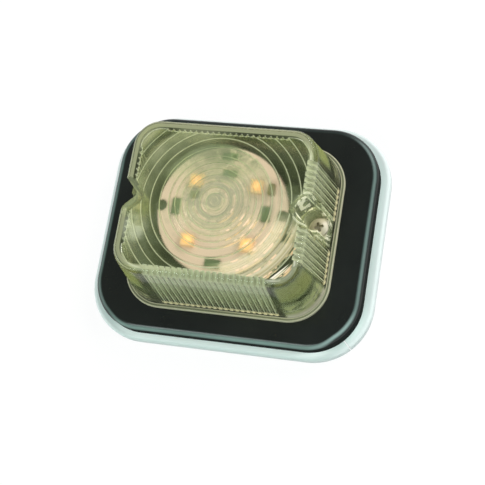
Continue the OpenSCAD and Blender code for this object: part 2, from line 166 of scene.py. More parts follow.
# Patchy noise: scale, where a patch starts and is full, and detail where it isn't plain
CLOUDS = (75.0, 0.48, 0.64, 4.0)
SPECKS = (420.0, 0.5, 0.62, 4.0)
SMEARS = (350.0, 0.38, 0.55, 4.0)
UPPER_PATCHES = (160.0, 0.3, 0.5)
FAR_PATCHES = (80.0, 0.25, 0.7)
SHEEN_PATCHES = (170.0, 0.28, 0.5)
STREAK_PATCHES = (300.0, 0.45, 0.58)
RING_PATCHES = (230.0, 0.38, 0.52)
CORNER_PATCHES = (170.0, 0.35, 0.55)
ARC_PATCHES = (330.0, 0.44, 0.52)
MIDDLE_RINGS = (900.0, 0.35, 0.6)
CLOUD_RINGS = (900.0, 0.25, 0.6)
SHEEN_RINGS = (950.0, 0.34, 0.56)
WELL_RINGS = (1300.0, 0.48, 0.53)

# Tones of the lens, with painted shadow lines, highlights, light and reflections among them
CLEAR_TINT = (0.965, 0.955, 0.89)
SHADOW_TINT = (0.93, 0.92, 0.83)
HAZE_TONE = (0.46, 0.54, 0.25)
LINE_TONE = (0.45, 0.48, 0.35)
FAR_LINE_TONE = (0.53, 0.55, 0.46)
# Painted shadow line beside each ring step
STEP_SHADOW_TONE = (0.10, 0.12, 0.06)
FOG_TONE = (0.24, 0.27, 0.17)
UPPER_TONE = (0.16, 0.19, 0.10)
# BORDER_TONE is also the painted reflection toward the corner at low X and high Y
BORDER_TONE = (0.55, 0.55, 0.33)
# Painted amber reflections of the LEDs' light on the ring crests
AMBER_REFLECTION_TONE = (0.98, 0.66, 0.45)
WELL_TONE = (0.42, 0.46, 0.26)
FLUTE_TONE = (0.58, 0.62, 0.47)
# FOOT_TONE is also the painted light at the foot of the corner toward high X and low Y
FOOT_TONE = (0.88, 0.78, 0.58)
CAP_TONE = (0.52, 0.54, 0.42)
RIM_TONE = (0.42, 0.45, 0.27)
# RIM_LINE_TONE is the painted highlight on the rim's outer edge, and the line at its foot
RIM_LINE_TONE = (0.80, 0.76, 0.54)
# EDGE_TONE is the painted highlight on the turned front edge and the notch edges, and the lines low on
# the corners
EDGE_TONE = (0.70, 0.68, 0.48)
CORNER_TONE = (0.31, 0.33, 0.12)
# Painted light low on the corner toward high X and low Y
CORNER_LOW_TONE = (0.42, 0.44, 0.20)
# ARC_TONE is the painted highlight arcs in the right well, and the ring at the edge of the well floors
ARC_TONE = (0.88, 0.83, 0.62)
SMEAR_TONE = (0.66, 0.68, 0.48)
# Painted reflections: a cream sheen of the LEDs' light, and a glint at the corner of the ring steps
SHEEN_TONE = (0.70, 0.58, 0.40)
GLINT_TONE = (0.92, 0.80, 0.68)

# Hazy layers of the lens, with painted shadow lines, highlights, light and reflections among them, from
# the lowest to the highest: mask, share of cover and tone
LENS_LAYERS = (
    ("low_wall", 0.02, HAZE_TONE),
    ("cloud", 0.22, FOG_TONE),
    ("middle", 0.5, FOG_TONE),
    ("specks", 0.42, FOG_TONE),
    ("upper", 0.62, UPPER_TONE),
    # painted reflection toward the corner at low X and high Y
    ("far_corner_reflection", 0.28, BORDER_TONE),
    ("smear", 0.3, SMEAR_TONE),
    # painted sheen of the LEDs' light
    ("sheen", 0.56, SHEEN_TONE),
    ("border", 0.42, BORDER_TONE),
    ("fluted", 0.22, FLUTE_TONE),
    # painted shadow of the ring steps
    ("step_shadows", 0.35, STEP_SHADOW_TONE),
    ("rings", 0.75, LINE_TONE),
    ("far_rings", 0.68, FAR_LINE_TONE),
    # painted amber reflections of the LEDs' light
    ("amber_reflections", 0.7, AMBER_REFLECTION_TONE),
    # painted glint
    ("glint", 0.8, GLINT_TONE),
    ("corner", 0.5, CORNER_TONE),
    # painted light from below on the corner toward high X and low Y, in this layer and the next
    ("corner_low_light", 0.58, CORNER_LOW_TONE),
    ("corner_foot_light", 0.5, FOOT_TONE),
    ("corner_arc", 0.45, EDGE_TONE),
    ("crests", 0.62, FLUTE_TONE),
    ("crest_feet", 0.75, FLUTE_TONE),
    ("caps", 0.75, CAP_TONE),
    ("feet", 0.75, FOOT_TONE),
    ("contour", 0.42, FAR_LINE_TONE),
    # painted highlight on the turned front edge
    ("turned_highlight", 0.45, EDGE_TONE),
    # painted highlight along the notch edges
    ("notch_highlight", 0.4, EDGE_TONE),
    ("well", 0.28, WELL_TONE),
    # painted highlight arcs in the right well
    ("well_highlight_arcs", 0.7, ARC_TONE),
    ("well_edge", 0.5, ARC_TONE),
    ("rim", 0.3, RIM_TONE),
    # painted highlight on the rim's outer edge
    ("edge", 0.45, RIM_LINE_TONE),
    ("foot", 0.4, RIM_LINE_TONE),
)

# Clear plastic
LENS_IOR = 1.49
MIRROR_ROUGH, MIRROR_POWER = 0.04, 1.5
WALL_ROUGH, FRONT_ROUGH = 0.05, 0.2
ROUGH_UP = (INNER_H - 1.0, INNER_H - 0.8)
WAVE_SCALE, WAVE_DEPTH, WAVE_STRENGTH = 120.0, 0.00005, 0.25
HAZE_SCALE, HAZE_SHARE = 45.0, (0.01, 0.09)
HAZE_TONE_SCALE, HAZE_TONES = 200.0, (0.9, 1.1)

# Gasket: pale rubber, with painted shade on its turned-down edge, and along the low side painted light
# on its inner strip and painted shade on its outer strip
GASKET_INNER = (0.62, 0.72, 0.69)
GASKET_INNER_LOW_LIT = (0.90, 0.97, 0.94)
GASKET_OUTER = (0.62, 0.67, 0.66)
GASKET_OUTER_LOW_SHADED = (0.50, 0.57, 0.55)
GASKET_EDGE_SHADE = (0.52, 0.56, 0.555)
GASKET_OUTWARD = (BASE_CORNER + 0.7, BASE_CORNER + 2.3)
GASKET_TURN = (GASKET_HIGH.z - 0.2, GASKET_HIGH.z - 1.2)
GASKET_TONES, GASKET_GLOSS, GASKET_SPECULAR = (0.97, 1.0), (0.58, 0.7), 0.15
GASKET_GRAIN, GASKET_DEPTH = 700.0, 0.00005

# Base: its black face, and a painted highlight in pale teal on its rounded edge, brighter along the low
# side and at the corner toward high X and low Y
BASE_TONE = (0.0085, 0.010, 0.009)
BASE_EDGE_HIGHLIGHT = (0.085, 0.135, 0.122)
BASE_EDGE_HIGHLIGHT_LOW = (0.16, 0.24, 0.215)
BASE_SHINE = (0.26, 0.35, 0.33)
HIGHLIGHT_PLACE, HIGHLIGHT_PLACE_LOW, HIGHLIGHT_FADE = 0.85, 1.6, (0.85, 0.05)
HIGHLIGHT_UP = (FACE_Z - BASE_EDGE * 1.2, FACE_Z - BASE_EDGE * 0.8)
HIGHLIGHT_Y = (BASE_HIGH.y + 0.5, BASE_HIGH.y - BASE_CORNER / 2)
BASE_SIDE_UP = (FACE_Z - BASE_EDGE * 0.45, FACE_Z - BASE_EDGE * 0.9)
CORNER_END = BASE_HIGH.x + BASE_HIGH.y - BASE_CORNER
SHINE_SIDE = (CORNER_END + 0.5, CORNER_END + 5.5)
COVERED = (OUTER_REACH, OUTER_REACH - 0.5)
LOW_SIDE = (0.75, 1.0)
HIGHLIGHT_SCALE, HIGHLIGHT_SHARE = 55.0, (0.7, 1.0)
BASE_TONES, BASE_GLOSS = (0.85, 1.15), (0.14, 0.26)
BASE_GRAIN, BASE_DEPTH = 1400.0, 0.000004
HIGHLIGHT_ROUGH, COVERED_ROUGH, SIDE_ROUGH = 0.5, 0.6, 0.9
FACE_SPECULAR, SIDE_SPECULAR = 0.3, 0.05

# Lit LED windows, the first of them seen clearest
AMBER_PLASTIC = (1.0, 0.55, 0.25, 1.0)
AMBER_EDGE = (1.0, 0.36, 0.14)
AMBER_CORE = (1.0, 0.52, 0.27)
AMBER_CLEAREST = (1.0, 0.72, 0.52)
AMBER_LIGHT, CORE_LIGHT, CLEAREST_LIGHT = 0.5, 0.78, 1.1
AMBER_ROUGH = 0.25
CORE_SHARE = 0.7
WOBBLE_SCALE, WOBBLE = 700.0, (-0.5, 0.5)
CLEAREST_X = (LED_MIDDLE.x + 1.0, LED_MIDDLE.x - 1.0)
CLEAREST_Y = (LED_MIDDLE.y - 1.0, LED_MIDDLE.y + 1.0)

# Screw steel and pin brass
STEEL_DARK, STEEL_LIGHT = (0.38, 0.34, 0.25), (0.52, 0.46, 0.36)
STEEL_MIDDLE, STEEL_RECESS = (0.26, 0.23, 0.15), (0.42, 0.38, 0.27)
STEEL_METAL, STEEL_GLOSS, STEEL_SCALE = 0.3, (0.48, 0.60), 400.0
STEEL_MARKS, STEEL_DEPTH, STEEL_STRENGTH = (1800.0, 4.0), 0.00002, 0.4
RECESS_RADII, RECESS_UP = (1.55, 1.45), (SCREW_HIGH.z - 0.25, SCREW_HIGH.z - 0.35)
HEAD_RADII, HEAD_UP = (1.7, 0.6), (SCREW_HIGH.z - 0.6, SCREW_HIGH.z - 0.3)
BRASS_DARK, BRASS_LIGHT = (0.66, 0.48, 0.20), (0.80, 0.62, 0.30)
BRASS_MARKS, BRASS_GLOSS = 1500.0, (0.25, 0.4)

# Plain moulded finishes: tone, spread of tone, roughness, scale and depth of the grain
PLAIN_FINISHES = {
    "seal_rubber": ((0.02, 0.02, 0.02), 0.1, 0.7, 900.0, 0.00004),
    # The board is white, made pinkish here by painted amber light from its LEDs
    "board_white": ((0.70, 0.53, 0.53), 0.04, 0.4, 500.0, 0.00003),
    "led_body": ((0.92, 0.58, 0.37), 0.05, 0.4, 1500.0, 0.00001),
    "resistor_dark": ((0.085, 0.12, 0.075), 0.2, 0.35, 1800.0, 0.00001),
    "chip_dark": ((0.085, 0.105, 0.07), 0.2, 0.45, 1800.0, 0.00001),
    "capacitor_tan": ((0.16, 0.13, 0.07), 0.15, 0.45, 1500.0, 0.00001),
    "connector_cream": ((0.78, 0.74, 0.62), 0.03, 0.45, 1200.0, 0.00002),
    "grommet_rubber": ((0.02, 0.02, 0.02), 0.15, 0.65, 1200.0, 0.00004),
}
GLOSS_SPREAD = 0.06
CLOUD_SCALE = 90.0
GRAIN_DETAIL, GRAIN_STRENGTH = 5.0, 0.6

# Noise in general: its details, its roughness and the values that it mostly keeps between
PLAIN_DETAIL, SMOOTH_DETAIL = 3.0, 2.0
NOISE_ROUGHNESS = 0.55
NOISE_LOW, NOISE_HIGH = 0.3, 0.7

# Sockets of the nodes that have several of one name
SCALE_SOCKET = 3
FIRST_COLOUR, SECOND_COLOUR, COLOUR_OUT = 6, 7, 2

# Stage: floor, world and lamps, in metres
FLOOR_HALF = 6.0
FLOOR_TONE = (0.90, 0.90, 0.90, 1.0)
FLOOR_SCALE, FLOOR_GLOSS, FLOOR_SPECULAR = 20.0, (0.75, 0.9), 0.1
FLOOR_SHARE, FAR_FLOOR_MM = 0.9, (120.0, 400.0)
OPEN_FLOOR_MM = 2.0
WHITE = (1, 1, 1, 1)
COOL = (0.84, 1.0, 0.96)
PALE_COOL = (0.93, 1.0, 0.98)
NEUTRAL = (1, 1, 1)
ROOM_LIGHT = 0.32
LAMP_TARGET = (0.0, 0.0, 0.015)
LAMPS = (
    ("key", (0.45, 0.75, 0.55), (0.5, 0.5), 8.0, NEUTRAL),
    ("right", (0.80, 0.15, 0.60), (0.20, 0.50), 4.5, PALE_COOL),
    ("low", (-0.25, -0.75, 0.70), (0.60, 0.40), 6.5, COOL),
    ("left", (-0.9, -0.1, 0.40), (0.45, 0.35), 3.0, NEUTRAL),
)


class Shader:
    """A material's node tree with short calls for the nodes that this scene needs."""

    def __init__(self, name):
        self.material = bpy.data.materials.new(name)
        self.material.use_nodes = True
        self.tree = self.material.node_tree
        self.tree.nodes.clear()
        self.out = self.tree.nodes.new("ShaderNodeOutputMaterial")
        self.place = self.tree.nodes.new("ShaderNodeTexCoord").outputs["Object"]

    def node(self, kind, inputs=None, **settings):
        made = self.tree.nodes.new(kind)
        for key, value in settings.items():
            setattr(made, key, value)
        for key, value in (inputs or {}).items():
            if isinstance(value, bpy.types.NodeSocket):
                self.tree.links.new(value, made.inputs[key])
            else:
                made.inputs[key].default_value = value
        return made

    def math(self, operation, *values):
        fields = dict(enumerate(values))
        return self.node("ShaderNodeMath", fields, operation=operation).outputs[0]

    def noise(self, scale, detail=PLAIN_DETAIL):
        fields = {"Vector": self.place, "Scale": scale, "Detail": detail}
        fields["Roughness"] = NOISE_ROUGHNESS
        return self.node("ShaderNodeTexNoise", fields).outputs["Fac"]

    def patches(self, scale, start, end, detail=PLAIN_DETAIL):
        """Noise as a mask: 0 where it is before start and 1 where it is past end."""
        return self.ramp(self.noise(scale, detail), start, end)

    def ring_patches(self, radius, scale, start, end):
        """The same for noise that changes only with the distance from a middle."""
        place = self.math("MULTIPLY", radius, MM)
        fields = {"W": place, "Scale": scale, "Detail": SMOOTH_DETAIL}
        noise = self.node("ShaderNodeTexNoise", fields, noise_dimensions="1D").outputs["Fac"]
        return self.ramp(noise, start, end)

    def spread(self, value, low, high):
        """Noise brought to the range from low to high."""
        fields = {"Value": value, "From Min": NOISE_LOW, "From Max": NOISE_HIGH}
        fields.update({"To Min": low, "To Max": high})
        return self.node("ShaderNodeMapRange", fields).outputs["Result"]

    def ramp(self, value, start, end):
        """0 before start and 1 past end, smooth between them."""
        fields = {"Value": value, "From Min": start, "From Max": end}
        return self.node("ShaderNodeMapRange", fields, interpolation_type="SMOOTHSTEP").outputs["Result"]

    def band(self, value, low, high, soft):
        """1 from low to high and 0 outside, with soft ends."""
        rise = self.ramp(value, low - soft, low + soft)
        fall = self.ramp(value, high + soft, high - soft)
        return self.math("MULTIPLY", rise, fall)

    def both(self, *masks):
        """The masks multiplied, so 1 only where all of them are."""
        product = masks[0]
        for mask in masks[1:]:
            product = self.math("MULTIPLY", product, mask)
        return product

    def either(self, first, second):
        return self.math("MAXIMUM", first, second)

    def past(self, value, start):
        """How far a number is past start, and 0 before it."""
        return self.math("MAXIMUM", self.math("SUBTRACT", value, start), 0.0)

    def length(self, across, along):
        """Length of the line with these two sides."""
        squares = self.math("MULTIPLY_ADD", across, across, self.math("MULTIPLY", along, along))
        return self.math("SQRT", squares)

    def reach(self, x, y, middle_x, middle_y):
        """Distance outward from a rectangle with the corners given."""
        past_x = self.past(self.math("ABSOLUTE", x), middle_x)
        past_y = self.past(self.math("ABSOLUTE", y), middle_y)
        return self.length(past_x, past_y)

    def low_side(self, y, reach):
        """1 along the base's side at low Y, and down to 0 within the corners beside it."""
        past = self.past(self.math("MULTIPLY", y, -1.0), BASE_MIDDLE_Y)
        return self.ramp(self.math("DIVIDE", past, self.math("MAXIMUM", reach, 1.0)), *LOW_SIDE)

    def millimetres(self):
        """The place on the part, as three numbers in millimetres."""
        fields = {0: self.place, SCALE_SOCKET: 1 / MM}
        scaled = self.node("ShaderNodeVectorMath", fields, operation="SCALE")
        split = self.node("ShaderNodeSeparateXYZ", {0: scaled.outputs[0]})
        return split.outputs[0], split.outputs[1], split.outputs[2]

    def lines(self, value, start, pitch, half, soft):
        """Thin lines at start and at every pitch from it."""
        offset = self.math("SUBTRACT", value, start)
        distance = self.math("PINGPONG", offset, pitch / 2)
        return self.ramp(distance, half + soft, half - soft)

    def blend(self, factor, first, second):
        mix = self.node("ShaderNodeMix", data_type="RGBA")
        self.tree.links.new(factor, mix.inputs["Factor"])
        for slot, value in ((FIRST_COLOUR, first), (SECOND_COLOUR, second)):
            if isinstance(value, bpy.types.NodeSocket):
                self.tree.links.new(value, mix.inputs[slot])
            else:
                mix.inputs[slot].default_value = (*value, 1.0)
        return mix.outputs[COLOUR_OUT]

    def near_tones(self, factor, tone, low, high):
        """From low times the tone to high times the tone."""
        darker, lighter = (tuple(min(1.0, share * c) for c in tone) for share in (low, high))
        return self.blend(factor, darker, lighter)

    def fade(self, factor, first, second):
        """A number that goes from first to second with the factor."""
        fields = {"Factor": factor, "A": first, "B": second}
        return self.node("ShaderNodeMix", fields, data_type="FLOAT").outputs[0]

    def bump(self, height, distance, strength):
        fields = {"Height": height, "Distance": distance, "Strength": strength}
        return self.node("ShaderNodeBump", fields).outputs["Normal"]

    def principled(self, **inputs):
        shader = self.node("ShaderNodeBsdfPrincipled")
        for key, value in inputs.items():
            name = key.replace("_", " ")
            if isinstance(value, bpy.types.NodeSocket):
                self.tree.links.new(value, shader.inputs[name])
            else:
                shader.inputs[name].default_value = value
        return shader.outputs["BSDF"]

    def mix(self, share, first, second):
        return self.node("ShaderNodeMixShader", {0: share, 1: first, 2: second}).outputs["Shader"]

    def finish(self, surface):
        self.tree.links.new(surface, self.out.inputs["Surface"])
        return self.material


def moulded(name, tone, tone_spread, rough, grain_scale, grain_depth):
    """A solid moulded or painted surface: two near tones, uneven gloss and a fine grain."""
    s = Shader(name)
    cloud = s.spread(s.noise(CLOUD_SCALE), 0.0, 1.0)
    grain = s.noise(grain_scale, GRAIN_DETAIL)
    colour = s.near_tones(cloud, tone, 1 - tone_spread, 1 + tone_spread)
    gloss = s.spread(grain, rough - GLOSS_SPREAD, rough + GLOSS_SPREAD)
    normal = s.bump(grain, grain_depth, GRAIN_STRENGTH)
    return s.finish(s.principled(Base_Color=colour, Roughness=gloss, Normal=normal))


# Lens
class LensPlace:
    """Where a point of the lens lies, in millimetres, and the masks that several layers share."""

    def __init__(self, s):
        self.x, self.y, z = s.millimetres()
        self.up = s.math("SUBTRACT", z, FACE_Z)
        self.side_x = s.math("ABSOLUTE", self.x)
        self.side_y = s.math("ABSOLUTE", self.y)
        self.past_x = s.past(self.side_x, CORNER_X)
        self.past_y = s.past(self.side_y, CORNER_Y)
        self.reach = s.math("MULTIPLY_ADD", self.up, LEAN, s.length(self.past_x, self.past_y))
        self.radius = s.length(self.x, self.y)
        self.toward_corner = s.math("SUBTRACT", self.x, self.y)
        self.aim = s.math("DIVIDE", self.toward_corner, s.math("MAXIMUM", self.radius, 1.0))
        self.inside = s.ramp(self.reach, *INSIDE)
        self.front = s.both(s.ramp(self.up, *FRONT_UP), self.inside)


def haze_masks(s, at):
    """Cloudy places on the inside of the front, with a painted reflection toward the corner at low X and
    high Y and a painted cream sheen of the LEDs' light toward the corner at high X and low Y.
    """
    from_smear = s.length(s.math("SUBTRACT", at.x, SMEAR_X), s.math("SUBTRACT", at.y, SMEAR_Y))
    far_gap = s.either(s.ramp(at.radius, *FAR_INNER), s.ramp(at.radius, *FAR_OUTER))
    upper = s.both(at.front, s.ramp(at.y, *UPPER_Y), s.ramp(at.radius, *UPPER_RADII))
    toward_sheen = s.both(at.front, s.ramp(at.aim, *SHEEN_AIM), s.band(at.radius, *SHEEN_BAND))
    sheen_rings = s.ring_patches(at.radius, *SHEEN_RINGS)
    middle = s.both(at.front, s.ramp(at.radius, *MIDDLE_RADII))
    return {
        "cloud": s.both(at.front, s.patches(*CLOUDS), s.ring_patches(at.radius, *CLOUD_RINGS)),
        "middle": s.both(middle, s.ring_patches(at.radius, *MIDDLE_RINGS)),
        "specks": s.both(at.front, s.ramp(at.radius, *SPECK_RADII), s.patches(*SPECKS)),
        "upper": s.both(upper, s.patches(*UPPER_PATCHES)),
        # Painted reflection on the front toward the corner at low X and high Y
        "far_corner_reflection": s.both(
            at.front, s.ramp(at.toward_corner, *FAR_SIDE), s.patches(*FAR_PATCHES), far_gap
        ),
        "smear": s.both(at.front, s.ramp(from_smear, *SMEAR_RADII), s.patches(*SMEARS)),
        # Painted cream sheen of the LEDs' light toward the corner at high X and low Y
        "sheen": s.both(toward_sheen, sheen_rings, s.patches(*SHEEN_PATCHES)),
    }


def ring_masks(s, at):
    """Crests of the ring steps and the painted shadow line beside each, coarse outside the split and
    fine inside it, with painted amber reflections and a painted glint.
    """
    steps = s.both(s.band(at.up, *STEPS_UP), at.inside)
    coarse = s.ramp(at.radius, *COARSE)
    fine = s.ramp(at.radius, *reversed(COARSE))

    def ring_lines(first, line, fine_line):
        outer = s.both(coarse, s.lines(at.radius, first, RING_PITCH, *line))
        inner = s.both(fine, s.lines(at.radius, first, RING_PITCH_IN, *fine_line))
        return outer, inner

    outer, inner = ring_lines(CREST_R, RING_LINE, FINE_LINE)
    rings = s.both(s.either(outer, s.both(inner, s.patches(*RING_PATCHES))), steps)
    # Painted shadow: a dark line just inside each crest of the ring steps
    step_shadows = s.both(steps, s.either(*ring_lines(STEP_SHADOW_R, STEP_SHADOW_LINE, FINE_STEP_SHADOW)))
    coarse_streaks = s.lines(at.radius, CREST_R, RING_PITCH, *STREAK_LINE)
    fine_streaks = s.lines(at.radius, CREST_R, RING_PITCH_IN, *FINE_STREAK)
    return {
        "rings": rings,
        "far_rings": s.both(rings, s.ramp(at.radius, *FAR_RINGS)),
        "step_shadows": step_shadows,
        # Painted amber reflections of the LEDs' light along the ring crests
        "amber_reflections": s.both(
            at.front,
            s.either(coarse_streaks, s.ramp(at.radius, *reversed(SPLIT_FADE))),
            s.either(fine_streaks, s.ramp(at.radius, *SPLIT_FADE)),
            s.ramp(at.aim, *STREAK_AIM),
            s.ramp(at.radius, *STREAK_RADII),
            s.patches(*STREAK_PATCHES),
        ),
        # Painted glint at the corner of the ring steps
        "glint": s.both(
            s.band(at.radius, *GLINT_BAND),
            s.ramp(at.toward_corner, *GLINT_SIDE),
            s.ramp(at.up, *GLINT_UP),
            at.inside,
        ),
    }


def flute_masks(s, at):
    """Crests, feet and caps of the flutes in the long walls and beside the screw wells."""
    wall = s.both(s.band(at.reach, *FLUTE_BAND), s.ramp(at.up, *FLUTE_UP))
    on_long = s.both(wall, s.ramp(at.side_x, *LONG_SPAN), s.ramp(at.past_y, *PAST_CORNER))
    on_side = s.both(wall, s.band(at.side_y, *SIDE_SPAN), s.ramp(at.past_x, *PAST_CORNER))
    near_long = s.both(on_long, s.ramp(at.y, *NEAR_HALF))

    def flute_lines(long_mask, line):
        long_lines = s.both(long_mask, s.lines(at.x, 0.0, FLUTE_PITCH, *line))
        side_lines = s.both(on_side, s.lines(at.side_y, SIDE_FLUTE_START, FLUTE_PITCH, *line))
        return s.either(long_lines, side_lines)

    crests = flute_lines(near_long, CREST_LINE)
    return {
        "fluted": s.both(s.either(near_long, on_side), s.ramp(at.up, *FLUTED_UP)),
        "crests": crests,
        "crest_feet": s.both(crests, s.ramp(at.up, *CREST_UP)),
        "feet": s.both(flute_lines(on_long, STUB_LINE), s.ramp(at.up, *FLUTE_FOOT_UP)),
        "caps": s.both(flute_lines(on_long, TOOTH_LINE), s.ramp(at.up, *CAP_UP)),
    }


def wall_masks(s, at):
    """Low walls, the border of the front and its two outlines, the outer one a painted highlight on the
    turned edge toward low X and high Y.
    """
    border_side = s.ramp(at.toward_corner, *BORDER_SIDE)
    turned_side = s.ramp(at.toward_corner, *TURNED_SIDE)
    return {
        "low_wall": s.both(s.ramp(at.reach, *LOW_WALL_REACH), s.ramp(at.up, *LOW_WALL_UP)),
        "border": s.both(s.band(at.reach, *BORDER_REACH), s.ramp(at.up, *BORDER_UP), border_side),
        "contour": s.both(s.band(at.reach, *CONTOUR_REACH), s.band(at.up, *CONTOUR_UP)),
        # Painted highlight on the turned front edge toward low X and high Y
        "turned_highlight": s.both(s.band(at.reach, *TURNED_REACH), s.ramp(at.up, *TURNED_UP), turned_side),
    }


def corner_masks(s, at):
    """Rounded corners of the walls, with painted light from below on the one toward high X and low Y."""
    outer_wall = s.ramp(at.reach, *OUTER_WALL)
    corner = s.both(s.ramp(at.past_x, *CORNER_PAST), s.ramp(at.past_y, *CORNER_PAST), outer_wall)
    lit_side = s.ramp(at.toward_corner, *CORNER_SIDE)
    arcs = s.lines(at.up, ARC_START, ARC_PITCH, *ARC_LINE)
    return {
        "corner": s.both(corner, s.band(at.up, *CORNER_UP)),
        # Painted light from below on the corner toward high X and low Y, here and in the next mask
        "corner_low_light": s.both(
            corner, s.ramp(at.up, *CORNER_LOW_UP), lit_side, s.patches(*CORNER_PATCHES)
        ),
        "corner_foot_light": s.both(corner, s.ramp(at.up, *CORNER_FOOT_UP), lit_side),
        "corner_arc": s.both(corner, arcs, s.ramp(at.up, *ARC_UP)),
    }


def well_masks(s, at):
    """Painted highlights along the edges of the notches, the jackets and floors of the two screw wells,
    and painted highlight arcs in the right well.
    """
    from_tip = s.math("SUBTRACT", at.side_x, NOTCH_X)
    inward = s.math("MULTIPLY", from_tip, -sin(NOTCH_ANGLE))
    flank = s.math("MULTIPLY_ADD", at.side_y, cos(NOTCH_ANGLE), inward)
    tip = s.math("MULTIPLY", s.length(from_tip, at.y), s.ramp(from_tip, *FROM_TIP))
    from_screw = s.length(s.math("SUBTRACT", at.side_x, SCREW_X), at.y)
    well = s.both(s.ramp(from_screw, *WELL_RADII), s.ramp(at.up, *WELL_UP))
    well_rings = s.ring_patches(from_screw, *WELL_RINGS)
    return {
        # Painted highlight along the notch edges
        "notch_highlight": s.both(
            s.band(s.either(flank, tip), *NOTCH_BAND),
            s.ramp(at.side_x, *NOTCH_START),
            s.ramp(at.side_y, *NOTCH_END),
            s.ramp(at.up, *NOTCH_UP),
        ),
        "well": well,
        # Painted highlight arcs in the right well
        "well_highlight_arcs": s.both(well, well_rings, s.patches(*ARC_PATCHES), s.ramp(at.x, *RIGHT_HALF)),
        "well_edge": s.both(s.band(from_screw, *WELL_EDGE), s.band(at.up, *WELL_EDGE_UP)),
    }


def rim_masks(s, at):
    """The rim that lies on the base, a painted highlight along its outer edge, and the line where the
    wall stands on it.
    """
    low = s.ramp(at.up, *RIM_UP)
    return {
        "rim": s.both(low, s.ramp(at.reach, *RIM_REACH)),
        # Painted highlight along the rim's outer edge
        "edge": s.both(low, s.ramp(at.reach, *RIM_EDGE)),
        "foot": s.both(s.band(at.up, *FOOT_UP), s.band(at.reach, *FOOT_REACH)),
    }


def clear_plastic(s, normal, rough):
    """Polished clear plastic: bends light, and mirrors it where the light meets it at a low angle."""
    fields = {"Color": (*CLEAR_TINT, 1.0), "Roughness": rough, "IOR": LENS_IOR, "Normal": normal}
    bent = s.node("ShaderNodeBsdfRefraction", fields).outputs["BSDF"]
    fields = {"Roughness": MIRROR_ROUGH, "Normal": normal}
    mirrored = s.node("ShaderNodeBsdfAnisotropic", fields).outputs["BSDF"]
    fresnel = s.node("ShaderNodeFresnel", {"IOR": LENS_IOR, "Normal": normal}).outputs["Fac"]
    return s.mix(s.math("POWER", fresnel, MIRROR_POWER), bent, mirrored)


def lens_material():
    """Olive-tinted clear plastic, hazy where steps, flutes and rim scatter the light, with painted
    shadow lines, highlights, light and reflections laid on as more layers of haze.
    """
    s = Shader("lens_clear")
    at = LensPlace(s)
    masks = {}
    for group in (haze_masks, wall_masks, ring_masks, corner_masks, flute_masks, well_masks, rim_masks):
        masks.update(group(s, at))
    share = s.spread(s.noise(HAZE_SCALE), *HAZE_SHARE)
    tone = s.near_tones(s.noise(HAZE_TONE_SCALE), HAZE_TONE, *HAZE_TONES)
    for name, cover, colour in LENS_LAYERS:
        share = s.fade(masks[name], share, cover)
        tone = s.blend(masks[name], tone, colour)
    haze = s.node("ShaderNodeBsdfDiffuse", {"Color": tone}).outputs["BSDF"]
    normal = s.bump(s.noise(WAVE_SCALE, SMOOTH_DETAIL), WAVE_DEPTH, WAVE_STRENGTH)
    rough = s.fade(s.ramp(at.up, *ROUGH_UP), WALL_ROUGH, FRONT_ROUGH)
    seen = s.mix(share, clear_plastic(s, normal, rough), haze)
    through = s.node("ShaderNodeBsdfTransparent", {"Color": (*SHADOW_TINT, 1.0)}).outputs["BSDF"]
    path = s.node("ShaderNodeLightPath").outputs
    lamp_light = s.either(path["Is Shadow Ray"], path["Is Diffuse Ray"])
    return s.finish(s.mix(lamp_light, seen, through))


# Base and gasket
def gasket_material():
    """Pale foam rubber, with painted shade where its outer edge turns down, and along the low side
    painted light on the strip next to the base and painted shade on the strip outside it.
    """
    s = Shader("gasket_rubber")
    x, y, z = s.millimetres()
    reach = s.reach(x, y, BASE_MIDDLE_X, BASE_MIDDLE_Y)
    outward = s.ramp(reach, *GASKET_OUTWARD)
    edge = s.ramp(z, *GASKET_TURN)
    cloud = s.spread(s.noise(CLOUD_SCALE), 0.0, 1.0)
    grain = s.noise(GASKET_GRAIN, GRAIN_DETAIL)
    low_side = s.low_side(y, reach)
    # Along the low side, painted light on the inner strip and painted shade on the outer one
    inner = s.blend(low_side, GASKET_INNER, GASKET_INNER_LOW_LIT)
    outer = s.blend(low_side, GASKET_OUTER, GASKET_OUTER_LOW_SHADED)
    flat = s.blend(outward, inner, outer)
    # Painted shade where the outer edge turns down
    shaded = s.near_tones(cloud, GASKET_EDGE_SHADE, *GASKET_TONES)
    colour = s.blend(edge, flat, shaded)
    gloss = s.spread(grain, *GASKET_GLOSS)
    normal = s.bump(grain, GASKET_DEPTH, GRAIN_STRENGTH)
    return s.finish(s.principled(
        Base_Color=colour, Roughness=gloss, Normal=normal, Specular_IOR_Level=GASKET_SPECULAR
    ))


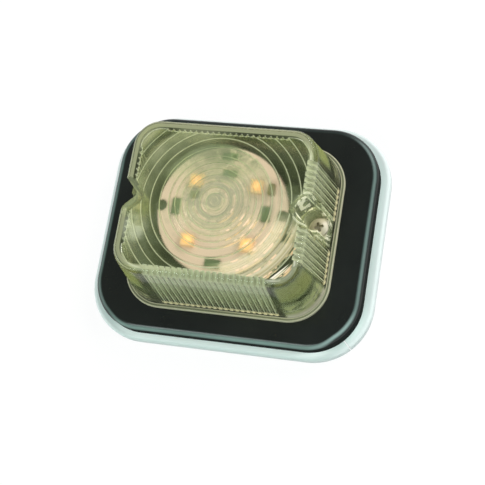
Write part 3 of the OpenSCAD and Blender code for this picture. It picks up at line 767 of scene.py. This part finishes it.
def base_material():
    """Black moulded plastic, duller where its edge is rounded, with a painted highlight in pale teal
    along that edge.
    """
    s = Shader("base_plastic")
    x, y, z = s.millimetres()
    reach = s.reach(x, y, BASE_MIDDLE_X, BASE_MIDDLE_Y)
    covered = s.ramp(s.reach(x, y, CORNER_X, CORNER_Y), *COVERED)
    low_side = s.low_side(y, reach)
    highlight_place = s.fade(low_side, HIGHLIGHT_PLACE, HIGHLIGHT_PLACE_LOW)
    highlight_reach = s.math("ADD", highlight_place, BASE_CORNER - BASE_EDGE)
    from_highlight = s.math("ABSOLUTE", s.math("SUBTRACT", reach, highlight_reach))
    # Painted highlight: a pale teal band on the rounded edge, lying further out along the low side
    painted_highlight = s.both(
        s.ramp(from_highlight, *HIGHLIGHT_FADE),
        s.ramp(y, *HIGHLIGHT_Y),
        s.spread(s.noise(HIGHLIGHT_SCALE), *HIGHLIGHT_SHARE),
        s.ramp(z, *HIGHLIGHT_UP),
    )
    # The painted highlight is brightest at the corner toward high X and low Y
    shine = s.ramp(s.math("SUBTRACT", x, y), *SHINE_SIDE)
    highlight_tone = s.blend(shine, s.blend(low_side, BASE_EDGE_HIGHLIGHT, BASE_EDGE_HIGHLIGHT_LOW), BASE_SHINE)
    cloud = s.spread(s.noise(CLOUD_SCALE), 0.0, 1.0)
    colour = s.blend(painted_highlight, s.near_tones(cloud, BASE_TONE, *BASE_TONES), highlight_tone)
    grain = s.noise(BASE_GRAIN, GRAIN_DETAIL)
    open_gloss = s.fade(painted_highlight, s.spread(grain, *BASE_GLOSS), HIGHLIGHT_ROUGH)
    gloss = s.fade(covered, open_gloss, COVERED_ROUGH)
    normal = s.bump(grain, BASE_DEPTH, GRAIN_STRENGTH)
    face = s.principled(
        Base_Color=colour, Roughness=gloss, Normal=normal, Specular_IOR_Level=FACE_SPECULAR
    )
    side = s.principled(
        Base_Color=colour, Roughness=SIDE_ROUGH, Normal=normal, Specular_IOR_Level=SIDE_SPECULAR
    )
    return s.finish(s.mix(s.ramp(z, *BASE_SIDE_UP), face, side))


# Small parts
def amber_material():
    """Lit amber window of an LED, brightest at its middle."""
    s = Shader("led_amber")
    x, y, _ = s.millimetres()
    from_middle_x = s.math("ABSOLUTE", s.math("SUBTRACT", x, LED_MIDDLE.x))
    from_middle_y = s.math("ABSOLUTE", s.math("SUBTRACT", y, LED_MIDDLE.y))
    across = s.math("SUBTRACT", from_middle_x, LED_HALF)
    along = s.math("SUBTRACT", from_middle_y, LED_HALF)
    wobble = s.spread(s.noise(WOBBLE_SCALE, SMOOTH_DETAIL), *WOBBLE)
    core = s.ramp(s.math("ADD", s.length(across, along), wobble), WINDOW_R * CORE_SHARE, 0.0)
    clearest = s.both(s.ramp(x, *CLEAREST_X), s.ramp(y, *CLEAREST_Y))
    colour = s.blend(core, AMBER_EDGE, s.blend(clearest, AMBER_CORE, AMBER_CLEAREST))
    strength = s.fade(core, AMBER_LIGHT, s.fade(clearest, CORE_LIGHT, CLEAREST_LIGHT))
    return s.finish(s.principled(
        Base_Color=AMBER_PLASTIC,
        Roughness=AMBER_ROUGH,
        Emission_Color=colour,
        Emission_Strength=strength,
    ))


def steel_material():
    """Plated screw steel with fine turning marks and a dull recess."""
    s = Shader("screw_steel")
    x, y, z = s.millimetres()
    from_axis = s.length(s.math("SUBTRACT", s.math("ABSOLUTE", x), SCREW_X), y)
    recess = s.both(s.ramp(from_axis, *RECESS_RADII), s.ramp(z, *RECESS_UP))
    soft_middle = s.both(s.ramp(from_axis, *HEAD_RADII), s.ramp(z, *HEAD_UP))
    plated = s.blend(s.noise(STEEL_SCALE), STEEL_DARK, STEEL_LIGHT)
    colour = s.blend(recess, s.blend(soft_middle, plated, STEEL_MIDDLE), STEEL_RECESS)
    marks = s.noise(*STEEL_MARKS)
    gloss = s.spread(marks, *STEEL_GLOSS)
    normal = s.bump(marks, STEEL_DEPTH, STEEL_STRENGTH)
    metal = s.fade(recess, STEEL_METAL, 0.0)
    return s.finish(s.principled(Base_Color=colour, Metallic=metal, Roughness=gloss, Normal=normal))


def brass_material():
    """Plated brass of the socket pins."""
    s = Shader("pin_brass")
    marks = s.noise(BRASS_MARKS)
    gloss = s.spread(marks, *BRASS_GLOSS)
    colour = s.blend(marks, BRASS_DARK, BRASS_LIGHT)
    return s.finish(s.principled(Base_Color=colour, Metallic=1.0, Roughness=gloss))


MATERIALS = {
    "gasket_rubber": gasket_material(),
    "base_plastic": base_material(),
    "lens_clear": lens_material(),
    "led_amber": amber_material(),
    "pin_brass": brass_material(),
    "screw_steel": steel_material(),
}
for finish_name, look in PLAIN_FINISHES.items():
    MATERIALS[finish_name] = moulded(finish_name, *look)


def dress(name, slot):
    """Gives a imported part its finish."""
    part = nodes[name]
    part.data.materials.clear()
    part.data.materials.append(MATERIALS[slot])


for row in frame["record"]["subparts"]:
    dress(row["node"], row["material_slot"])


# Stage: a pale floor that stays white to the camera and keeps the shadow
def floor_material():
    """Pale floor, white to the camera except under the lamp."""
    s = Shader("floor_pale")
    rough = s.spread(s.noise(FLOOR_SCALE), *FLOOR_GLOSS)
    lit = s.principled(Base_Color=FLOOR_TONE, Roughness=rough, Specular_IOR_Level=FLOOR_SPECULAR)
    white = s.node("ShaderNodeEmission", {"Color": WHITE, "Strength": 1.0}).outputs["Emission"]
    path = s.node("ShaderNodeLightPath").outputs
    seen = s.either(s.either(path["Is Camera Ray"], path["Is Glossy Ray"]), path["Is Transmission Ray"])
    x, y, _ = s.millimetres()
    open_sides = []
    for place, end in ((x, GASKET_HIGH.x - GASKET_LAP), (y, GASKET_HIGH.y - GASKET_LAP)):
        open_sides.append(s.ramp(s.math("ABSOLUTE", place), end - OPEN_FLOOR_MM, end))
    share = s.fade(s.ramp(s.length(x, y), *FAR_FLOOR_MM), FLOOR_SHARE, 1.0)
    return s.finish(s.mix(s.both(seen, s.either(*open_sides), share), lit, white))


def add_floor():
    mesh = bpy.data.meshes.new("floor")
    low, high = -FLOOR_HALF, FLOOR_HALF
    corners = [(low, low, 0), (high, low, 0), (high, high, 0), (low, high, 0)]
    mesh.from_pydata(corners, [], [(0, 1, 2, 3)])
    floor = bpy.data.objects.new("floor", mesh)
    bpy.context.scene.collection.objects.link(floor)
    mesh.materials.append(floor_material())


def add_world():
    world = bpy.data.worlds.new("studio")
    bpy.context.scene.world = world
    world.use_nodes = True
    tree = world.node_tree
    tree.nodes.clear()
    out = tree.nodes.new("ShaderNodeOutputWorld")
    path = tree.nodes.new("ShaderNodeLightPath")
    room = tree.nodes.new("ShaderNodeBackground")
    room.inputs["Color"].default_value = (*PALE_COOL, 1.0)
    room.inputs["Strength"].default_value = ROOM_LIGHT
    white = tree.nodes.new("ShaderNodeBackground")
    white.inputs["Color"].default_value = WHITE
    mix = tree.nodes.new("ShaderNodeMixShader")
    tree.links.new(path.outputs["Is Camera Ray"], mix.inputs[0])
    tree.links.new(room.outputs[0], mix.inputs[1])
    tree.links.new(white.outputs[0], mix.inputs[2])
    tree.links.new(mix.outputs[0], out.inputs["Surface"])


def soft_lamp(name, place, size, power, tone):
    light = bpy.data.lights.new(name, "AREA")
    light.shape = "RECTANGLE"
    light.size, light.size_y = size
    light.energy = power
    light.color = tone
    lamp = bpy.data.objects.new(name, light)
    bpy.context.scene.collection.objects.link(lamp)
    lamp.location = place
    toward = Vector(LAMP_TARGET) - Vector(place)
    lamp.rotation_euler = toward.to_track_quat("-Z", "Y").to_euler()


def add_camera():
    place = Vector(CAMERA_MM) * MM
    back = (place - Vector(AIM_MM) * MM).normalized()
    side = Vector(CAMERA_UP).cross(back).normalized()
    up = back.cross(side)
    data = bpy.data.cameras.new("photo_camera")
    data.sensor_width = SENSOR_MM
    data.lens = FOCAL_PX / PHOTO_PX * SENSOR_MM
    data.clip_start, data.clip_end = CLIP_NEAR, CLIP_FAR
    camera = bpy.data.objects.new("photo_camera", data)
    bpy.context.scene.collection.objects.link(camera)
    camera.matrix_world = Matrix((
        (side.x, up.x, back.x, place.x),
        (side.y, up.y, back.y, place.y),
        (side.z, up.z, back.z, place.z),
        (0, 0, 0, 1),
    ))
    bpy.context.scene.camera = camera


add_floor()
add_world()
for lamp_row in LAMPS:
    soft_lamp(*lamp_row)
add_camera()

scene = bpy.context.scene
scene.view_settings.view_transform = "Standard"
